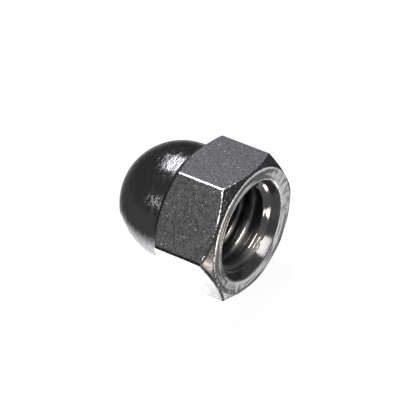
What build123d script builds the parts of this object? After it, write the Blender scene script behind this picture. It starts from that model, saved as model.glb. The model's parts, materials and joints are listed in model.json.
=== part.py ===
from build123d import *
import os
from math import cos, radians, tan

# A crown nut: a hexagon nut closed by a dome, turned and tapped from one length of hexagon bar.
# The thread axis lies along X and the open end faces +X. The origin is the centre of the
# bearing face. The nut lies on one of its flats, so +Z is the way the opposite flat faces.

# Hexagon
across_flats = 14.0
hexagon_height = 7.0
flat_count = 6
long_edge_radius = 0.2
front_chamfer_angle = 30.0
rear_chamfer_angle = 25.0
shoulder_width = 0.4

# Dome, on a short straight neck
dome_diameter = 13.0
neck_length = 1.6
neck_fillet = 0.3
crown_wall = 1.3

# Tapped hole, plain here at the crests of the thread
thread_diameter = 10.0
thread_pitch = 1.5
thread_angle = 60.0
thread_depth_share = 0.625
thread_start_angle = 120.0
lead_in_angle = 50.0
mouth_flare = 0.45
drill_point_angle = 118.0

# Bearing face, the ring around the mouth that is clamped down
bearing_width = 1.3
bearing_edge_radius = 0.12

# How far a cutting shape runs past what it cuts
cut_overrun = 1.0

overall_height = hexagon_height + neck_length + dome_diameter / 2
mouth_radius = thread_diameter / 2 + mouth_flare
bearing_radius = mouth_radius + bearing_width


def cone_length(wide_radius, narrow_radius, included_angle):
    """The length along the axis over which a cone narrows from one radius to another."""
    return (wide_radius - narrow_radius) / tan(radians(included_angle / 2))


def hexagon_bar():
    """The bar that the nut is turned from, with its long edges slightly rounded."""
    section = RegularPolygon(across_flats / 2, flat_count, major_radius=False)
    section = fillet(section.vertices(), long_edge_radius)
    bar_length = overall_height + 2 * cut_overrun
    return extrude(Plane.YZ.offset(cut_overrun) * section, amount=-bar_length)


def turned_form():
    """What the lathe leaves: both chamfers of the hexagon, the shoulder, the neck and the dome."""
    dome_radius = dome_diameter / 2
    dome_centre = dome_radius - overall_height
    shoulder_radius = dome_radius + shoulder_width
    clear_radius = across_flats / 2 / cos(radians(180 / flat_count)) + cut_overrun
    front_setback = (clear_radius - bearing_radius) * tan(radians(front_chamfer_angle))
    rear_setback = (clear_radius - shoulder_radius) * tan(radians(rear_chamfer_angle))
    outline = Polyline(
        (0, 0),
        (0, bearing_radius),
        (-front_setback, clear_radius),
        (rear_setback - hexagon_height, clear_radius),
        (-hexagon_height, shoulder_radius),
        (-hexagon_height, dome_radius),
        (dome_centre, dome_radius),
    )
    dome = CenterArc((dome_centre, 0), dome_radius, 90, 90)
    axis_line = Line((-overall_height, 0), (0, 0))
    section = make_face([*outline.edges(), *dome.edges(), *axis_line.edges()])
    neck_corner = section.vertices().sort_by_distance((-hexagon_height, dome_radius))[0]
    return revolve(fillet(neck_corner, neck_fillet), Axis.X)


def bore():
    """The blind hole: a lead-in cone, the start of the thread, the wall and the drill's point."""
    outer_radius = thread_diameter / 2
    sharp_height = cone_length(thread_pitch / 2, 0, thread_angle)
    crest_radius = outer_radius - sharp_height * thread_depth_share
    lead_in_end = cone_length(mouth_radius, outer_radius, lead_in_angle)
    wall_start = lead_in_end + cone_length(outer_radius, crest_radius, thread_start_angle)
    point_end = overall_height - crown_wall
    wall_end = point_end - cone_length(crest_radius, 0, drill_point_angle)
    outline = Polyline(
        (cut_overrun, 0),
        (cut_overrun, mouth_radius),
        (0, mouth_radius),
        (-lead_in_end, outer_radius),
        (-wall_start, crest_radius),
        (-wall_end, crest_radius),
        (-point_end, 0),
        close=True,
    )
    return revolve(make_face(outline), Axis.X)


def crown_nut():
    """The finished nut, with both edges of its bearing face broken."""
    nut = (hexagon_bar() & turned_form()) - bore()
    bearing_face = nut.faces().sort_by(Axis.X)[-1]
    return fillet(bearing_face.edges(), bearing_edge_radius)


os.makedirs("parts", exist_ok=True)
export_step(crown_nut(), "parts/crown_nut.step")
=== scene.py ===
import json
import math

import bpy
import numpy as np
from mathutils import Matrix, Quaternion, Vector


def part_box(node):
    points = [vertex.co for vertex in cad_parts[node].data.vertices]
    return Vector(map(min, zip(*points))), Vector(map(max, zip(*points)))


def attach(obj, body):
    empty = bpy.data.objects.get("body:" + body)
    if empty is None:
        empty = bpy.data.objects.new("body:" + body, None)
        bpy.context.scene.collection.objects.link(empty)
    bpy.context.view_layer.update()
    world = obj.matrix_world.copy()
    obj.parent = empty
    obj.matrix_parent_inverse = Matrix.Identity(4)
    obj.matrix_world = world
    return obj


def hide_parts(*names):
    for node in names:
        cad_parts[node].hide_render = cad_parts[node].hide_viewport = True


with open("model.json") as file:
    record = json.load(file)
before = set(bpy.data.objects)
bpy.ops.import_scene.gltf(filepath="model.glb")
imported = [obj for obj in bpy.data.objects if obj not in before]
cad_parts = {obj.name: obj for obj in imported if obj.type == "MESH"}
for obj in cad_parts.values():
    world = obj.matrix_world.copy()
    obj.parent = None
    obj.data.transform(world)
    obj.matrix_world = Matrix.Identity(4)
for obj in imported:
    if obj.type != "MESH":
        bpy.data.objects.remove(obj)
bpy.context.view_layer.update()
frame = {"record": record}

# The bar: the nut is cut from one length of drawn steel bar, a hexagon whose flats meet in slightly
# rounded long edges. It lies on a flat, with its axis along X and its open end towards +X. The mesh is
# drawn on lines that run along the bar, each at a place round the axis, from +Y towards +Z.
lowest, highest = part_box("crown_nut")
flat_radius = (highest.z - lowest.z) / 2
crown_tip = lowest.x
long_edge_radius = 0.0002
flat_count = 6
full_turn = math.radians(360)
flat_turn = full_turn / flat_count
first_flat_facing = math.radians(90)
lines_on_flat = 22
lines_on_long_edge = 7

edge_axis_reach = (flat_radius - long_edge_radius) / math.cos(flat_turn / 2)
flat_half_width = (flat_radius - long_edge_radius) * math.tan(flat_turn / 2)
angles = []
reaches = []
from_long_edge = []
flat_of_line = []
edge_of_line = []
for flat in range(flat_count):
    facing = first_flat_facing + flat * flat_turn
    next_edge = (flat + 1) % flat_count
    for step in range(lines_on_flat):
        across = -flat_half_width * math.cos(math.pi * step / lines_on_flat)
        angles.append(facing + math.atan2(across, flat_radius))
        reaches.append(math.hypot(across, flat_radius))
        from_long_edge.append(flat_half_width - abs(across) + long_edge_radius * flat_turn / 2)
        flat_of_line.append(flat)
        edge_of_line.append(next_edge if across > 0 else flat)
    for step in range(lines_on_long_edge):
        turned = flat_turn * step / lines_on_long_edge
        out = edge_axis_reach * math.cos(flat_turn / 2) + long_edge_radius * math.cos(turned)
        side = edge_axis_reach * math.sin(flat_turn / 2) + long_edge_radius * math.sin(turned)
        angles.append(facing + math.atan2(side, out))
        reaches.append(math.hypot(side, out))
        from_long_edge.append(long_edge_radius * abs(turned - flat_turn / 2))
        flat_of_line.append(flat)
        edge_of_line.append(next_edge)
angles = np.array(angles)
degrees = np.degrees(angles)
reaches = np.array(reaches)
from_long_edge = np.array(from_long_edge)
edge_of_line = np.array(edge_of_line)
line_count = len(angles)

# The turned outside: a lathe makes the dome on its short neck, chamfers both ends of the hexagon and
# faces the bearing ring. The bar ran a little out of true, so the front chamfer and the ring are uneven.
# The finished nut has been knocked on one rear corner and dented at the edge of its mouth.
hexagon_height = 0.0070
bearing_radius = 0.00675
mouth_radius = 0.00545
shoulder_radius = 0.0069
dome_radius = 0.0065
front_chamfer_slope = math.tan(math.radians(30))
rear_chamfer_slope = math.tan(math.radians(25))
neck_fillet = 0.0003
shoulder_break = 0.00006
flat_end_break = 0.00009
front_arc_break = 0.00005
bearing_rim_break = 0.00006
mouth_rim_break = 0.00007
chamfer_runout = 0.00032
chamfer_runout_place = 180
ring_widening = 0.00013
ring_wide_place = 25
ring_narrowing = 0.00017
ring_narrow_place = 110
knock_depth = 0.00042
knock_place = 120
knock_width = 16
mouth_dent = 0.00025
mouth_dent_place = 37
mouth_dent_width = 8
dome_rows = 44
neck_rows = 5
fillet_rows = 6
shoulder_break_rows = 3
shoulder_rows = 8
flat_rows = 22
chamfer_rows = 12
ring_rows = 14
break_rows = 4
FAR = 1.0
DOME, SHOULDER, FLAT, CHAMFER, BEARING, COUNTERSINK, THREAD = range(7)
dome_centre = crown_tip + dome_radius
rows = []


def turn_from(place):
    """How many degrees each line is turned from a place round the axis, the short way."""
    return (degrees - place + 180) % 360 - 180


def on_side(place):
    """1 on the side of the nut at a place round the axis, down to -1 on the side opposite."""
    return np.cos(np.radians(turn_from(place)))


def close_to(place, width):
    """1 at a place round the axis, falling away on both sides of it."""
    return np.exp(-(turn_from(place) / width) ** 2)


def eased(share):
    """A share that starts and ends slowly."""
    return (1 - np.cos(math.pi * share)) / 2


def add_row(along, radius, finish, travel, from_arc=FAR, from_ring_edge=FAR):
    """Add a row across all the lines: its places along the axis and its radii, the finish of the band
    after it, the lathe tool's travel, and how far it is from the front arcs and from the ring's edges."""
    values = (along, radius, travel, from_arc, from_ring_edge)
    rows.append((finish, [np.broadcast_to(value, line_count) for value in values]))


def by_radius(along, radius):
    """The tool's travel over a face or a chamfer."""
    return radius


def by_length(along, radius):
    """The tool's travel along the bar."""
    return along


def over_dome(along, radius):
    """The tool's travel over the dome and on along the neck."""
    swing = np.arctan2(radius, np.maximum(dome_centre - along, 0.0))
    return dome_radius * swing + np.maximum(along - dome_centre, 0.0)


def towards(start, end, length):
    """The point at a given length from start on the way to end."""
    share = length / np.hypot(end[0] - start[0], end[1] - start[1])
    return start[0] + (end[0] - start[0]) * share, start[1] + (end[1] - start[1]) * share


def straight(start, end, steps, finish, travel, worn_start=None, worn_end=None):
    """The rows between two points of the section, closer together near both."""
    length = np.hypot(end[0] - start[0], end[1] - start[1])
    for step in range(1, steps):
        share = eased(step / steps)
        along = start[0] + (end[0] - start[0]) * share
        radius = start[1] + (end[1] - start[1]) * share
        distances = {"from_arc": FAR, "from_ring_edge": FAR}
        if worn_start:
            distances[worn_start] = length * share
        if worn_end:
            distances[worn_end] = np.minimum(distances[worn_end], length * (1 - share))
        add_row(along, radius, finish, travel(along, radius), **distances)


def rounded(before, at, after, cut, steps, finish, next_finish, travel, worn=None):
    """The rows over a corner of the section, cut back by one length on both sides. It gives their end."""
    start = towards(at, before, cut)
    end = towards(at, after, cut)
    for step in range(steps + 1):
        share = step / steps
        along = start[0] * (1 - share) ** 2 + at[0] * 2 * share * (1 - share) + end[0] * share ** 2
        radius = start[1] * (1 - share) ** 2 + at[1] * 2 * share * (1 - share) + end[1] * share ** 2
        band_finish = next_finish if step == steps else finish
        distances = {worn: 0.0} if worn else {}
        add_row(along, radius, band_finish, travel(along, radius), **distances)
    return end


neck_top = (dome_centre, dome_radius)
neck_foot = (-hexagon_height, dome_radius)
shoulder_rim = (-hexagon_height, shoulder_radius)
rear_cut = reaches - shoulder_radius + knock_depth * close_to(knock_place, knock_width)
rear_arc = (-hexagon_height + rear_cut * rear_chamfer_slope, reaches)
front_cut = reaches - bearing_radius + chamfer_runout * on_side(chamfer_runout_place)
front_arc = (-np.maximum(front_cut, front_arc_break) * front_chamfer_slope, reaches)
ring_wide = np.maximum(on_side(ring_wide_place), 0.0) ** 2
ring_narrow = np.maximum(on_side(ring_narrow_place), 0.0)
bearing_rim = (0.0, bearing_radius + ring_widening * ring_wide - ring_narrowing * ring_narrow)
mouth_rim = (0.0, mouth_radius)

for step in range(1, dome_rows):
    swing = math.radians(90) * step / dome_rows
    along = dome_centre - dome_radius * math.cos(swing)
    radius = dome_radius * math.sin(swing)
    add_row(along, radius, DOME, over_dome(along, radius))
add_row(*neck_top, DOME, over_dome(*neck_top))
straight(neck_top, towards(neck_foot, neck_top, neck_fillet), neck_rows, DOME, over_dome)
rounded(neck_top, neck_foot, shoulder_rim, neck_fillet, fillet_rows, DOME, SHOULDER, by_radius)
past_shoulder = rounded(neck_foot, shoulder_rim, rear_arc, shoulder_break, shoulder_break_rows,
                        SHOULDER, SHOULDER, by_radius)
shoulder_end = towards(rear_arc, shoulder_rim, flat_end_break)
straight(past_shoulder, shoulder_end, shoulder_rows, SHOULDER, by_radius)
flat_rear = rounded(shoulder_rim, rear_arc, front_arc, flat_end_break, break_rows,
                    SHOULDER, FLAT, by_length)
flat_front = towards(front_arc, rear_arc, front_arc_break)
straight(flat_rear, flat_front, flat_rows, FLAT, by_length, worn_end="from_arc")
past_flat = rounded(rear_arc, front_arc, bearing_rim, front_arc_break, break_rows,
                    FLAT, CHAMFER, by_length, "from_arc")
chamfer_end = towards(bearing_rim, front_arc, bearing_rim_break)
straight(past_flat, chamfer_end, chamfer_rows, CHAMFER, by_radius, "from_arc", "from_ring_edge")
past_chamfer = rounded(front_arc, bearing_rim, mouth_rim, bearing_rim_break, break_rows,
                       BEARING, BEARING, by_radius, "from_ring_edge")
mouth_break = mouth_rim_break + mouth_dent * close_to(mouth_dent_place, mouth_dent_width)
ring_end = towards(mouth_rim, bearing_rim, mouth_break)
straight(past_chamfer, ring_end, ring_rows, BEARING, by_radius, "from_ring_edge", "from_ring_edge")

# The tapped hole: drilled blind, countersunk at its mouth and tapped right-handed, so that a helical
# groove runs in from the countersink and fades out just before the cone that the drill's point left.
mounts = {mount["name"]: mount for mount in frame["record"]["mounts"]}
metres_per_mm = 0.001
crest_radius = mounts["thread"]["dims"]["r_mm"] * metres_per_mm
groove_radius = 0.0050
thread_pitch = 0.0015
first_crest = -0.001525
groove_sharpness = 6
ridge_slope_share = 0.35
lead_in_slope = math.tan(math.radians(25))
thread_start_length = 0.00072
thread_start_knee = 0.45
thread_start_softness = 0.35
second_edge_depth = -0.00144
second_edge_width = 0.00008
second_edge_height = 0.00008
crown_wall = 0.0013
drill_point_angle = math.radians(118)
plain_end_length = 0.0009
fade_length = 0.0015
fine_depth = 0.0060
fine_rows = 165
deep_rows = 90
point_rows = 14

drill_point_slope = math.tan(drill_point_angle / 2)
lead_in_end = -(mouth_radius - groove_radius) / lead_in_slope
thread_start_end = lead_in_end - thread_start_length
point_end = crown_tip + crown_wall
wall_end = point_end + crest_radius / drill_point_slope
past_mouth = rounded(bearing_rim, mouth_rim, (lead_in_end, groove_radius), mouth_break, break_rows,
                     BEARING, COUNTERSINK, by_radius, "from_ring_edge")
hole_start = float(np.min(past_mouth[0]))


def soft_knee(share):
    """A rise that starts slowly and grows straight, as wide as the softness of the thread's start."""
    return (share + math.hypot(share, thread_start_softness)) / 2


def hole_radius(along):
    """The wall's radius round the hole at one depth: the cones at the mouth, or the groove if deeper."""
    countersink = mouth_radius + along * lead_in_slope
    before_end = max(along - thread_start_end, 0.0) / thread_start_length
    rise = soft_knee(before_end - thread_start_knee) - soft_knee(-thread_start_knee)
    rise = rise / (soft_knee(1 - thread_start_knee) - soft_knee(-thread_start_knee))
    second_edge = second_edge_height * math.exp(-((along - second_edge_depth) / second_edge_width) ** 2)
    thread_start = crest_radius + (groove_radius - crest_radius) * rise - second_edge
    cone = countersink if along > lead_in_end else thread_start
    turns = (along - first_crest) / thread_pitch - angles / full_turn
    wave = eased(2 * turns)
    groove = ridge_slope_share * wave + (1 - ridge_slope_share) * wave ** groove_sharpness
    fade = np.clip((along - wall_end - plain_end_length) / fade_length, 0.0, 1.0)
    return np.maximum(cone, crest_radius + (groove_radius - crest_radius) * groove * fade)


for step in range(1, fine_rows):
    along = hole_start + (-fine_depth - hole_start) * step / fine_rows
    add_row(along, hole_radius(along), COUNTERSINK if along > thread_start_end else THREAD, along)
for step in range(deep_rows):
    along = -fine_depth + (wall_end + fine_depth) * step / deep_rows
    add_row(along, hole_radius(along), THREAD, along)
for step in range(point_rows):
    along = wall_end + (point_end - wall_end) * step / point_rows
    add_row(along, (along - point_end) * drill_point_slope, THREAD, along)

# The nut: one piece of steel, so all the rows close into one mesh, with a fan of triangles at each end
# of the axis. Its points carry the lathe tool's travel and their place round the axis, and below they
# are marked where the coat is worn, rubbed or specked, and where painted shade, painted highlights and
# painted reflections lie.
finish_of_row = np.array([finish for finish, values in rows])[:, None]
section = np.array([values for finish, values in rows])
along, radius, travel, from_arc, from_ring_edge = section.swapaxes(0, 1)
points = np.stack([along, radius * np.cos(angles), radius * np.sin(angles)], axis=-1).reshape(-1, 3)
points = np.vstack([[(crown_tip, 0.0, 0.0)], points, [(point_end, 0.0, 0.0)]])
last_point = len(points) - 1
last_row = 1 + (len(rows) - 1) * line_count
faces = []
face_finishes = []
for line in range(line_count):
    beside = (line + 1) % line_count
    faces.append((0, 1 + beside, 1 + line))
    face_finishes.append(DOME)
    faces.append((last_point, last_row + line, last_row + beside))
    face_finishes.append(THREAD)
    for row in range(len(rows) - 1):
        here = 1 + row * line_count
        after = here + line_count
        faces.append((here + line, here + beside, after + beside, after + line))
        face_finishes.append(rows[row][0])

nut_mesh = bpy.data.meshes.new("crown_nut_form")
nut_mesh.from_pydata(points.tolist(), [], faces)
nut_mesh.polygons.foreach_set("material_index", face_finishes)
nut_mesh.polygons.foreach_set("use_smooth", [True] * len(faces))
nut = bpy.data.objects.new("domed_nut", nut_mesh)
bpy.context.scene.collection.objects.link(nut)


def mark_points(name, values, kind="FLOAT", field="value"):
    """Store a value for each point of the rows, and zero for the two points on the axis."""
    values = values.astype(np.float32).reshape(len(rows) * line_count, -1)
    on_axis = np.zeros_like(values[:1])
    values = np.concatenate([on_axis, values, on_axis])
    nut_mesh.attributes.new(name, kind, "POINT").data.foreach_set(field, values.ravel())


turning = np.broadcast_arrays(travel / metres_per_mm, np.cos(angles), np.sin(angles))
mark_points("turning", np.stack(turning, axis=-1), "FLOAT_VECTOR", "vector")

# The plating: a thin dark coat over the whole nut, lined on what was turned and grained on the flats of
# the bar. Each finish below builds on it, and they are added in the order of the bands' numbers. Most of
# a noise lies in the first of the two spans here, and nearly all of it in the second.
most_noise = (0.35, 0.65)
nearly_all_noise = (0.3, 0.7)
line_detail = 3.0
bare_steel = (0.75, 0.74, 0.73, 1)


def start_finish(name, metallic=1.0):
    """A new steel on the nut, with its nodes and its shader."""
    material = bpy.data.materials.new(name)
    material.use_nodes = True
    nut_mesh.materials.append(material)
    tree = material.node_tree
    shader = tree.nodes["Principled BSDF"]
    shader.inputs["Metallic"].default_value = metallic
    return tree, shader


def add(tree, kind, inputs=(), **settings):
    """Add a node, set or link its inputs, and give its outputs."""
    node = tree.nodes.new(kind)
    for name, value in settings.items():
        setattr(node, name, value)
    for name, value in dict(inputs).items():
        if isinstance(value, bpy.types.NodeSocket):
            tree.links.new(value, node.inputs[name])
        else:
            node.inputs[name].default_value = value
    return node.outputs


def mark(tree, name):
    """The values that the points are marked with under one name."""
    return add(tree, "ShaderNodeAttribute", attribute_name=name)["Fac"]


def turned_lines(tree, lines_per_mm, breaks_per_turn):
    """Noise drawn out into lines round the axis, as a lathe tool leaves them."""
    stretch = (lines_per_mm, breaks_per_turn, breaks_per_turn)
    place = add(tree, "ShaderNodeAttribute", attribute_name="turning")["Vector"]
    place = add(tree, "ShaderNodeVectorMath", {0: place, 1: stretch}, operation="MULTIPLY")["Vector"]
    return add(tree, "ShaderNodeTexNoise", {"Vector": place, "Scale": 1.0, "Detail": line_detail})["Fac"]


def grain(tree, grains_per_mm, detail=2.0):
    """Noise that is alike in all directions."""
    place = add(tree, "ShaderNodeTexCoord")["Object"]
    scale = grains_per_mm / metres_per_mm
    return add(tree, "ShaderNodeTexNoise", {"Vector": place, "Scale": scale, "Detail": detail})["Fac"]


def spread(tree, value, span, onto=(0.0, 1.0)):
    """Map one span of values onto another, and hold them at its ends."""
    names = ("Value", "From Min", "From Max", "To Min", "To Max")
    return add(tree, "ShaderNodeMapRange", zip(names, (value, *span, *onto)))["Result"]


def combine(tree, operation, first, second):
    """One value from two, by a sum, a product or the like."""
    return add(tree, "ShaderNodeMath", {0: first, 1: second}, operation=operation)["Value"]


def between(tree, share, first, second):
    """A value between two, by a share of the second."""
    return add(tree, "ShaderNodeMix", {0: share, 2: first, 3: second}, data_type="FLOAT")[0]


def blend(tree, share, first, second):
    """A colour between two, by a share of the second."""
    return add(tree, "ShaderNodeMix", {0: share, 6: first, 7: second}, data_type="RGBA")[2]


def ripple(tree, height, depth):
    """The small unevenness of a surface, as deep as its marks."""
    return add(tree, "ShaderNodeBump", {"Height": height, "Strength": 1.0, "Distance": depth})["Normal"]


def finish_with(tree, shader, colour, roughness, normal):
    """Give a finish its colour, its roughness and its unevenness."""
    tree.links.new(colour, shader.inputs["Base Color"])
    tree.links.new(roughness, shader.inputs["Roughness"])
    tree.links.new(normal, shader.inputs["Normal"])


# The dome and its neck: turned from the bar, with a dark glossy coat over tool lines that break every
# reflection into streaks. A band of painted shade, black and rough, darkens the corner where the neck meets
# the shoulder.
dome_dark = (0.027, 0.027, 0.028, 1)
dome_light = (0.047, 0.047, 0.048, 1)
dome_edge_tint = (0.5, 0.5, 0.5, 1)
dome_roughness = (0.06, 0.28)
dome_line_depth = 0.000055
fine_line_share = 0.25
# Black for painted shade, at the neck's corner and along one long edge.
shade_black = (0.004, 0.004, 0.004, 1)
corner_shade_reach = 0.00050


def fading(distance, reach):
    """1 over the first half of a reach, and down to 0 at its end."""
    return np.clip(2 - 2 * distance / reach, 0, 1)


# Painted shade: the neck is painted black and rough next to the shoulder, where the corner lies in shade.
mark_points("corner_shade", fading(-hexagon_height - along, corner_shade_reach) * (finish_of_row == DOME))
tree, shader = start_finish("turned_dome")
streaks = turned_lines(tree, lines_per_mm=3.0, breaks_per_turn=7.0)
fine_lines = turned_lines(tree, lines_per_mm=12.0, breaks_per_turn=10.0)
lines = combine(tree, "ADD", streaks, combine(tree, "MULTIPLY", fine_lines, fine_line_share))
colour = blend(tree, fine_lines, dome_dark, dome_light)
colour = blend(tree, mark(tree, "corner_shade"), colour, shade_black)
roughness = spread(tree, streaks, most_noise, onto=dome_roughness)
roughness = combine(tree, "MAXIMUM", roughness, mark(tree, "corner_shade"))
shader.inputs["Specular Tint"].default_value = dome_edge_tint
finish_with(tree, shader, colour, roughness, ripple(tree, lines, dome_line_depth))

# The shoulder: the narrow face behind the hexagon and the rear chamfer, turned from the same bar. It has
# the dome's coat, as the tool left it, with shallower lines.
shoulder_roughness = (0.25, 0.40)
shoulder_line_depth = 0.000008
tree, shader = start_finish("turned_shoulder")
lines = turned_lines(tree, lines_per_mm=8.0, breaks_per_turn=3.0)
colour = blend(tree, lines, dome_dark, dome_light)
roughness = spread(tree, lines, most_noise, onto=shoulder_roughness)
finish_with(tree, shader, colour, roughness, ripple(tree, lines, shoulder_line_depth))

# The worn edges: handling has rubbed the coat through to bright steel on the sharp edges, most of all on
# one long edge and the front arcs at its end, which have nicks too, and on the upper side of the ring.
# The first of the long edges is the one at 60 degrees. A nick has a place, a width and a share.
worn_long_edge_width = 0.00014
worn_arc_width = 0.000045
worn_nick_width = 0.00013
worn_ring_width = 0.00009
long_edge_wear_shares = (0.15, 1.0, 0.1, 0.2, 0.3, 0.2)
worn_corner_place = 120
worn_corner_widths = (16, 40)
worn_corner_share = 0.58
nicks = ((122.5, 3.0, 1.0), (140.5, 1.8, 1.0), (175.0, 3.0, 0.48))
faint_arc_share = 0.15
ring_wear_place = 118
ring_wear_shares = (-0.10, 0.80)
patch_shares = (-0.35, 0.35)
worn_through = (0.40, 0.60)


def worn(distance, width):
    """1 on an edge, down to 0 at a width from it."""
    return np.clip(1 - distance / width, 0, 1)


on_hexagon = finish_of_row == FLAT
long_edge_share = np.array(long_edge_wear_shares)[edge_of_line]
before_corner = turn_from(worn_corner_place) < 0
near_corner = close_to(worn_corner_place, np.where(before_corner, *worn_corner_widths))
nicked = np.maximum.reduce([share * close_to(place, width) for place, width, share in nicks])
arc_share = np.maximum(np.maximum(near_corner * worn_corner_share, nicked), faint_arc_share)
arc_width = worn_arc_width + (worn_nick_width - worn_arc_width) * nicked
ring_share = np.interp(on_side(ring_wear_place), (-1, 1), ring_wear_shares)
edge_wear = np.maximum.reduce([
    worn(from_long_edge, worn_long_edge_width) * long_edge_share * on_hexagon,
    worn(from_arc, arc_width) * arc_share,
    worn(from_ring_edge, worn_ring_width) * ring_share,
])
mark_points("edge_wear", edge_wear)


def worn_edges(tree, patches_per_mm):
    """Where the coat is worn off an edge, in uneven patches."""
    patches = spread(tree, grain(tree, patches_per_mm), nearly_all_noise, onto=patch_shares)
    return spread(tree, combine(tree, "ADD", mark(tree, "edge_wear"), patches), worn_through)


# The flats: the drawn bar's own fine grain under the coat, strewn with bright specks, of which some lie
# on the front chamfer too, beside the worn corner. A dark line of painted shade runs along one long edge.
flat_dark = (0.015, 0.015, 0.015, 1)
flat_light = (0.063, 0.063, 0.064, 1)
flat_roughness = (0.42, 0.58)
flat_grain_depth = 0.000015
coarse_grain_share = 0.35
speck_colour = (0.40, 0.40, 0.40, 1)
speck_shares = (0.20, 0.24, 0.25, 0.20, 0.28, 0.22)
corner_speck_share = 0.85
speck_cells_per_mm = 4.0
speck_size = 0.25
speck_fade = (0.0, 0.25)
flat_patches_per_mm = 5.0
shaded_edge = 2
shaded_edge_width = 0.00032
shaded_edge_fade = 0.00018


def bright_specks(tree):
    """Tiny bright pits and dust, in the share of a pattern's cells that the points are marked with."""
    place = add(tree, "ShaderNodeTexCoord")["Object"]
    scale = speck_cells_per_mm / metres_per_mm
    cells = add(tree, "ShaderNodeTexVoronoi", {"Vector": place, "Scale": scale})
    dot = spread(tree, cells["Distance"], (speck_size / 2, speck_size), onto=(1.0, 0.0))
    chance = add(tree, "ShaderNodeSeparateColor", {"Color": cells["Color"]})["Red"]
    excess = combine(tree, "SUBTRACT", combine(tree, "ADD", chance, mark(tree, "specks")), 1.0)
    return combine(tree, "MULTIPLY", dot, spread(tree, excess, speck_fade))


corner_specks = corner_speck_share * near_corner * (finish_of_row == CHAMFER)
mark_points("specks", np.array(speck_shares)[flat_of_line] + corner_specks)
# Painted shade: a dark line along the rounding of one long edge, where it lies in shade.
edge_shade = np.clip((shaded_edge_width - from_long_edge) / shaded_edge_fade, 0, 1)
mark_points("edge_shade", edge_shade * (edge_of_line == shaded_edge) * on_hexagon)
tree, shader = start_finish("grained_flat")
fine_grain = grain(tree, grains_per_mm=7.0)
mottling = between(tree, coarse_grain_share, fine_grain, grain(tree, grains_per_mm=3.6))
colour = blend(tree, spread(tree, mottling, most_noise), flat_dark, flat_light)
colour = blend(tree, mark(tree, "edge_shade"), colour, shade_black)
colour = blend(tree, bright_specks(tree), colour, speck_colour)
colour = blend(tree, worn_edges(tree, flat_patches_per_mm), colour, bare_steel)
dullness = grain(tree, grains_per_mm=2.0, detail=3.0)
roughness = spread(tree, dullness, nearly_all_noise, onto=flat_roughness)
finish_with(tree, shader, colour, roughness, ripple(tree, fine_grain, flat_grain_depth))

# The front chamfer: turned smooth and dark, and rubbed bare in patches on the side where it is deepest,
# between the worn arcs and the edge of the ring. These patches are painted a warm light steel, partly as
# wear and partly as a painted reflection of the warm floor.
chamfer_dark = (0.020, 0.020, 0.021, 1)
chamfer_light = (0.062, 0.062, 0.063, 1)
chamfer_edge_tint = (0.4, 0.4, 0.4, 1)
chamfer_roughness = (0.08, 0.18)
chamfer_line_depth = 0.000006
# A warm light steel: partly wear, and partly painted reflection and painted highlight on the chamfer and in
# the hole.
rubbed_sheen_steel = (0.33, 0.316, 0.302, 1)
rubbed_sheen_zone = (162, 255)
rubbed_sheen_fade = 10
sheen_arc_margin = 0.00024
sheen_ring_margin = 0.00008
sheen_margin_fade = 0.00012
rubbed_sheen_noise = (0.35, 0.6)
rubbed_sheen_shares = (0.3, 1.0)


def round_part(zone, fade):
    """1 between two places round the axis, with a fade inside both."""
    start, end = zone
    half = (end - start) / 2
    return np.clip((half - np.abs(turn_from(start + half))) / fade, 0, 1)


# Partly painted reflection: the rubbed patch is painted warm and light where the chamfer reflects the
# floor's warm glow.
inside_margins = np.minimum(from_arc - sheen_arc_margin, from_ring_edge - sheen_ring_margin)
inside_margins = np.clip(inside_margins / sheen_margin_fade, 0, 1) * (finish_of_row == CHAMFER)
mark_points("rubbed_chamfer_sheen", round_part(rubbed_sheen_zone, rubbed_sheen_fade) * inside_margins)
tree, shader = start_finish("turned_chamfer")
shader.inputs["Specular Tint"].default_value = chamfer_edge_tint
lines = turned_lines(tree, lines_per_mm=7.0, breaks_per_turn=4.0)
colour = blend(tree, lines, chamfer_dark, chamfer_light)
rubbed_sheen_patches = spread(tree, grain(tree, grains_per_mm=1.8), rubbed_sheen_noise, onto=rubbed_sheen_shares)
rubbed_sheen = combine(tree, "MULTIPLY", mark(tree, "rubbed_chamfer_sheen"), rubbed_sheen_patches)
colour = blend(tree, rubbed_sheen, colour, rubbed_sheen_steel)
colour = blend(tree, bright_specks(tree), colour, speck_colour)
colour = blend(tree, worn_edges(tree, flat_patches_per_mm), colour, bare_steel)
roughness = spread(tree, lines, nearly_all_noise, onto=chamfer_roughness)
finish_with(tree, shader, colour, roughness, ripple(tree, lines, chamfer_line_depth))

# The bearing ring: the face that clamps, turned flat. Use has rubbed its coat thin. Round the axis it is
# painted lighter and darker as painted shade and painted reflection, and on its low side painted shade
# darkens both its margins. So it shows the tool's rings, short chatter marks across them in two places,
# and bright edges.
ring_dark = (0.04, 0.04, 0.041, 1)
ring_light = (0.46, 0.46, 0.46, 1)
ring_edge_steel = (0.50, 0.495, 0.49, 1)
ring_roughness = (0.22, 0.38)
ring_mark_depth = 0.000015
ring_mark_noise = (0.42, 0.62)
ring_patches_per_mm = 4.0
ring_shading_places = (-180, -140, -105, -68, -52, -38, 0, 30, 65, 100, 140)
ring_shading_shares = (-0.15, 0.03, 0.09, 0.12, -0.05, 0.02, 0.05, 0.05, -0.02, -0.10, -0.14)
margin_shade_share = 0.14
margin_shade_zone = (-170, -20)
margin_shade_fade = 25
unshaded_inside = 0.00566
unshaded_outside = 0.00638
unshaded_rim_fade = 0.00012
chatter_zones = ((-20, 62), (206, 264))
chatter_fade = 12
chatter_reach = 0.0016
chatter_most = 0.85
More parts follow.
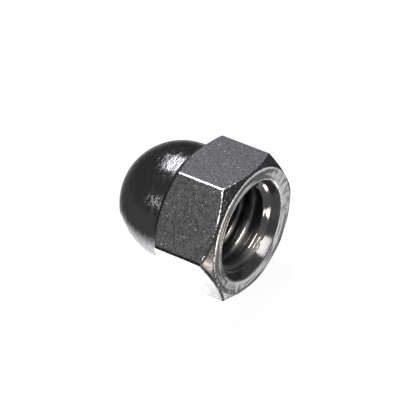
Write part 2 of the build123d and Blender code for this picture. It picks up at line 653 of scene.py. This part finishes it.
# Painted shade and reflection: the ring's marks are painted lighter or darker round the axis, and darker
# along both margins of its low side.
ring_shading = np.interp(degrees, ring_shading_places, ring_shading_shares, period=360)
past_unshaded = np.maximum(radius - unshaded_outside, unshaded_inside - radius)
margin_shade = round_part(margin_shade_zone, margin_shade_fade) * np.clip(past_unshaded / unshaded_rim_fade, 0, 1)
mark_points("ring_shading", ring_shading - margin_shade_share * margin_shade)
chattered = np.maximum.reduce([round_part(zone, chatter_fade) for zone in chatter_zones])
mark_points("chatter", chattered * fading(bearing_radius + ring_widening - radius, chatter_reach))
tree, shader = start_finish("faced_bearing_ring")
rings = turned_lines(tree, lines_per_mm=5.0, breaks_per_turn=1.5)
chatter = turned_lines(tree, lines_per_mm=0.8, breaks_per_turn=26.0)
chatter_share = combine(tree, "MULTIPLY", mark(tree, "chatter"), chatter_most)
marks = between(tree, chatter_share, rings, chatter)
shaded_marks = combine(tree, "ADD", marks, mark(tree, "ring_shading"))
colour = blend(tree, spread(tree, shaded_marks, ring_mark_noise), ring_dark, ring_light)
colour = blend(tree, worn_edges(tree, ring_patches_per_mm), colour, ring_edge_steel)
roughness = spread(tree, rings, nearly_all_noise, onto=ring_roughness)
finish_with(tree, shader, colour, roughness, ripple(tree, marks, ring_mark_depth))

# The countersink: a smooth cone at the mouth, as dark as the dome, and the rounded ridge where the thread
# starts behind it. On one side of the hole that ridge and the crests behind it are painted lighter steel,
# as painted highlights, and on its other sides they are painted dark, as painted shade.
countersink_dark = (0.029, 0.029, 0.030, 1)
countersink_light = (0.047, 0.047, 0.048, 1)
countersink_metallic = 0.75
countersink_roughness = (0.04, 0.11)
countersink_line_depth = 0.000003
cone_dulling = (0.0, 0.09)
cone_dulling_mm = 0.2
hole_shade_colour = (0.020, 0.020, 0.020, 1)
hole_shade_roughness = 0.5
hole_shade_most = 0.87
low_shade_zone = (-186, -58)
low_shade_fade = 32
high_shade_zone = (-50, 120)
high_shade_fade = 42.5
hole_highlight_place = 303
hole_highlight_width = 16
highlit_ridge_share = 0.5
highlit_crest_height = 0.00022
# Painted shade: the hole's wall is painted dark and rough on its low side and its high side, where it lies
# in shade.
past_cone = (finish_of_row >= COUNTERSINK) & (along < lead_in_end)
on_thread = finish_of_row == THREAD
low_shade = round_part(low_shade_zone, low_shade_fade) * past_cone
high_shade = round_part(high_shade_zone, high_shade_fade) * on_thread
mark_points("hole_shade", hole_shade_most * np.maximum(low_shade, high_shade))
# Painted highlight: on one side the first ridge and the crests are painted lighter steel, where the lamps'
# highlights fall on them.
highlit_ridge = highlit_ridge_share * (past_cone & ~on_thread)
highlit_crest = on_thread & (radius < crest_radius + highlit_crest_height)
highlit_side = close_to(hole_highlight_place, hole_highlight_width)
mark_points("hole_painted_highlight", highlit_side * np.maximum(highlit_crest, highlit_ridge))


def with_hole_shade(tree, roughness):
    """The roughness of a surface in the hole, raised where painted shade darkens it."""
    shade_roughness = combine(tree, "MULTIPLY", mark(tree, "hole_shade"), hole_shade_roughness)
    return combine(tree, "MAXIMUM", roughness, shade_roughness)


tree, shader = start_finish("turned_countersink", countersink_metallic)
lines = turned_lines(tree, lines_per_mm=9.0, breaks_per_turn=3.0)
colour = blend(tree, lines, countersink_dark, countersink_light)
colour = blend(tree, mark(tree, "hole_shade"), colour, hole_shade_colour)
colour = blend(tree, mark(tree, "hole_painted_highlight"), colour, rubbed_sheen_steel)
colour = blend(tree, worn_edges(tree, ring_patches_per_mm), colour, bare_steel)
roughness = spread(tree, lines, most_noise, onto=countersink_roughness)
place = add(tree, "ShaderNodeAttribute", attribute_name="turning")["Vector"]
travel_mm = add(tree, "ShaderNodeSeparateXYZ", {"Vector": place})["X"]
cone_edge_mm = lead_in_end / metres_per_mm
dulled = spread(tree, travel_mm, (cone_edge_mm, cone_edge_mm + cone_dulling_mm), onto=cone_dulling)
roughness = with_hole_shade(tree, combine(tree, "ADD", roughness, dulled))
finish_with(tree, shader, colour, roughness, ripple(tree, lines, countersink_line_depth))

# The thread: cut by a tap, which leaves smooth ridges, and coated like the rest. It is lighter in random
# places and painted lighter still where its highlights fall, and elsewhere it is darkened by painted shade.
thread_dark = (0.075, 0.075, 0.075, 1)
thread_light = (0.26, 0.257, 0.252, 1)
thread_metallic = 0.8
thread_roughness = (0.13, 0.28)
thread_line_depth = 0.000002
thread_rub_noise = (0.48, 0.62)
tree, shader = start_finish("tapped_thread", thread_metallic)
rubbed_and_highlit_places = spread(tree, turned_lines(tree, lines_per_mm=0.8, breaks_per_turn=1.5), thread_rub_noise)
rubbed_and_highlit_places = combine(tree, "MAXIMUM", rubbed_and_highlit_places, mark(tree, "hole_painted_highlight"))
colour = blend(tree, rubbed_and_highlit_places, thread_dark, thread_light)
colour = blend(tree, mark(tree, "hole_shade"), colour, hole_shade_colour)
lines = turned_lines(tree, lines_per_mm=4.0, breaks_per_turn=1.0)
roughness = with_hole_shade(tree, spread(tree, lines, nearly_all_noise, onto=thread_roughness))
finish_with(tree, shader, colour, roughness, ripple(tree, lines, thread_line_depth))

# The finished nut stands for its solid, and moves with it.
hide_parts("crown_nut")
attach(nut, "root")

# The floor: a white table lit from below, so that it keeps its white close to the nut. Four lamps under
# it make it brighter still: a wide one under the dome, and three small warm ones, by the nut's lowest
# corner, before its mouth and to the right of it.
floor_half_size = 1.5
floor_corners = [(-1, -1), (1, -1), (1, 1), (-1, 1)]
table_grey = (0.06, 0.06, 0.06, 1)
table_roughness = 0.9
table_glow = 0.9
white_glow = (1.0, 1.0, 1.0, 1)
warm_white_glow = (1.0, 0.92, 0.86, 1)
floor_mesh = bpy.data.meshes.new("white_floor")
floor_points = [(x * floor_half_size, y * floor_half_size, lowest.z) for x, y in floor_corners]
floor_mesh.from_pydata(floor_points, [], [(0, 1, 2, 3)])
table = bpy.data.materials.new("lit_white_table")
table.use_nodes = True
table_tree = table.node_tree
table_shader = table_tree.nodes["Principled BSDF"]
table_shader.inputs["Base Color"].default_value = table_grey
table_shader.inputs["Roughness"].default_value = table_roughness
table_shader.inputs["Specular IOR Level"].default_value = 0.0


def glow(place, reach, brightness, core=0.5, stretch=1.0, turn=0.0):
    """Light from a lamp under the table, full over its core and gone at its reach. A stretched one is
    longer one way, and turned by some degrees."""
    spot = add(table_tree, "ShaderNodeTexCoord")["Object"]
    frame_of_lamp = {"Vector": spot, "Location": (*place, lowest.z), "Rotation": (0, 0, math.radians(turn)),
                     "Scale": (reach * stretch, reach, 1)}
    spot = add(table_tree, "ShaderNodeMapping", frame_of_lamp, vector_type="TEXTURE")["Vector"]
    distance = add(table_tree, "ShaderNodeVectorMath", {0: spot}, operation="LENGTH")["Value"]
    return spread(table_tree, distance, (core, 1.0), onto=(brightness, 0.0))


low_side_glow = glow(place=(-0.0110, -0.0050), reach=0.0075, brightness=17.0, core=0.3, stretch=1.75,
                     turn=-10)
corner_glow = glow(place=(0.0095, -0.0090), reach=0.005, brightness=1.8)
mouth_glow = glow(place=(0.0122, 0.0035), reach=0.0023, brightness=34.0, core=0.8)
right_glow = glow(place=(0.0044, 0.0070), reach=0.0005, brightness=26.0, core=0.7, stretch=3.2, turn=-33)
warm_glow = combine(table_tree, "ADD", corner_glow, mouth_glow)
warm_glow = combine(table_tree, "ADD", warm_glow, right_glow)
brightness = combine(table_tree, "ADD", low_side_glow, warm_glow)
brightness = combine(table_tree, "ADD", brightness, table_glow)
warmth = combine(table_tree, "MINIMUM", warm_glow, 1.0)
glow_colour = blend(table_tree, warmth, white_glow, warm_white_glow)
table_tree.links.new(brightness, table_shader.inputs["Emission Strength"])
table_tree.links.new(glow_colour, table_shader.inputs["Emission Color"])
floor_mesh.materials.append(table)
floor = bpy.data.objects.new("white_floor", floor_mesh)
bpy.context.scene.collection.objects.link(floor)

# The light: a white room with four lamps, one high behind the nut, a small one low on the left, a strip
# over the camera and a low one on the right. Each stands at so many degrees round from the camera, to the
# right of it where positive, and so many above the floor, and may lean to one side.
room_white = (0.70, 0.70, 0.70, 1)
camera_azimuth = math.radians(34.65)
camera_elevation = math.radians(34.84)
lamp_distance = 0.35
world = bpy.data.worlds.new("white_room")
world.use_nodes = True
world.node_tree.nodes["Background"].inputs["Color"].default_value = room_white
bpy.context.scene.world = world


def way_to(round_from_camera, elevation):
    """The direction from the nut to a place round from the camera, at a height above the floor."""
    azimuth = camera_azimuth + round_from_camera
    level = math.cos(elevation)
    return Vector((math.sin(azimuth) * level, -math.cos(azimuth) * level, math.sin(elevation)))


def lamp(name, round_from_camera, elevation, width, height, brightness, colour, lean=0.0):
    """A flat lamp that faces the nut."""
    light = bpy.data.lights.new(name, "AREA")
    light.shape = "RECTANGLE"
    light.size = width
    light.size_y = height
    light.color = colour
    light.energy = brightness * math.pi * width * height
    way = way_to(math.radians(round_from_camera), math.radians(elevation))
    holder = bpy.data.objects.new(name, light)
    holder.location = way * lamp_distance
    lean_turn = Quaternion((0.0, 0.0, 1.0), math.radians(-lean))
    holder.rotation_euler = (way.to_track_quat("Z", "Y") @ lean_turn).to_euler()
    bpy.context.scene.collection.objects.link(holder)


lamp("lamp_behind", round_from_camera=-153.5, elevation=65.4, width=0.18, height=0.10, brightness=55,
     colour=(0.94, 0.93, 1.0), lean=-31)
lamp("lamp_left", round_from_camera=-53, elevation=24, width=0.022, height=0.080, brightness=94,
     colour=(1.0, 1.0, 1.0), lean=-15)
lamp("strip_over_camera", round_from_camera=9, elevation=55, width=0.05, height=0.26, brightness=28,
     colour=(1.0, 0.97, 0.94), lean=39)
lamp("lamp_right", round_from_camera=66, elevation=0, width=0.08, height=0.012, brightness=36,
     colour=(1.0, 0.98, 0.96))

# The camera: a long lens that looks down on the open end of the nut, from the front and the right. It is
# moved a little left and up, square to its view, so that the middle of the bearing face comes to the
# right of the picture's middle and below it.
sensor_width = 36.0
focal_length = 270.0
camera_distance = 0.3046
aim_right = -0.005271
aim_up = 0.003094
nearest_seen = 0.01
farthest_seen = 10.0
camera_data = bpy.data.cameras.new("camera")
camera_data.sensor_width = sensor_width
camera_data.lens = focal_length
camera_data.clip_start = nearest_seen
camera_data.clip_end = farthest_seen
back = way_to(0.0, camera_elevation)
right = Vector((math.cos(camera_azimuth), math.sin(camera_azimuth), 0.0))
up = back.cross(right)
place = back * camera_distance + right * aim_right + up * aim_up
camera = bpy.data.objects.new("camera", camera_data)
camera.matrix_world = Matrix.Translation(place) @ Matrix((right, up, back)).transposed().to_4x4()
bpy.context.scene.collection.objects.link(camera)
bpy.context.scene.camera = camera
bpy.context.scene.view_settings.view_transform = "Standard"
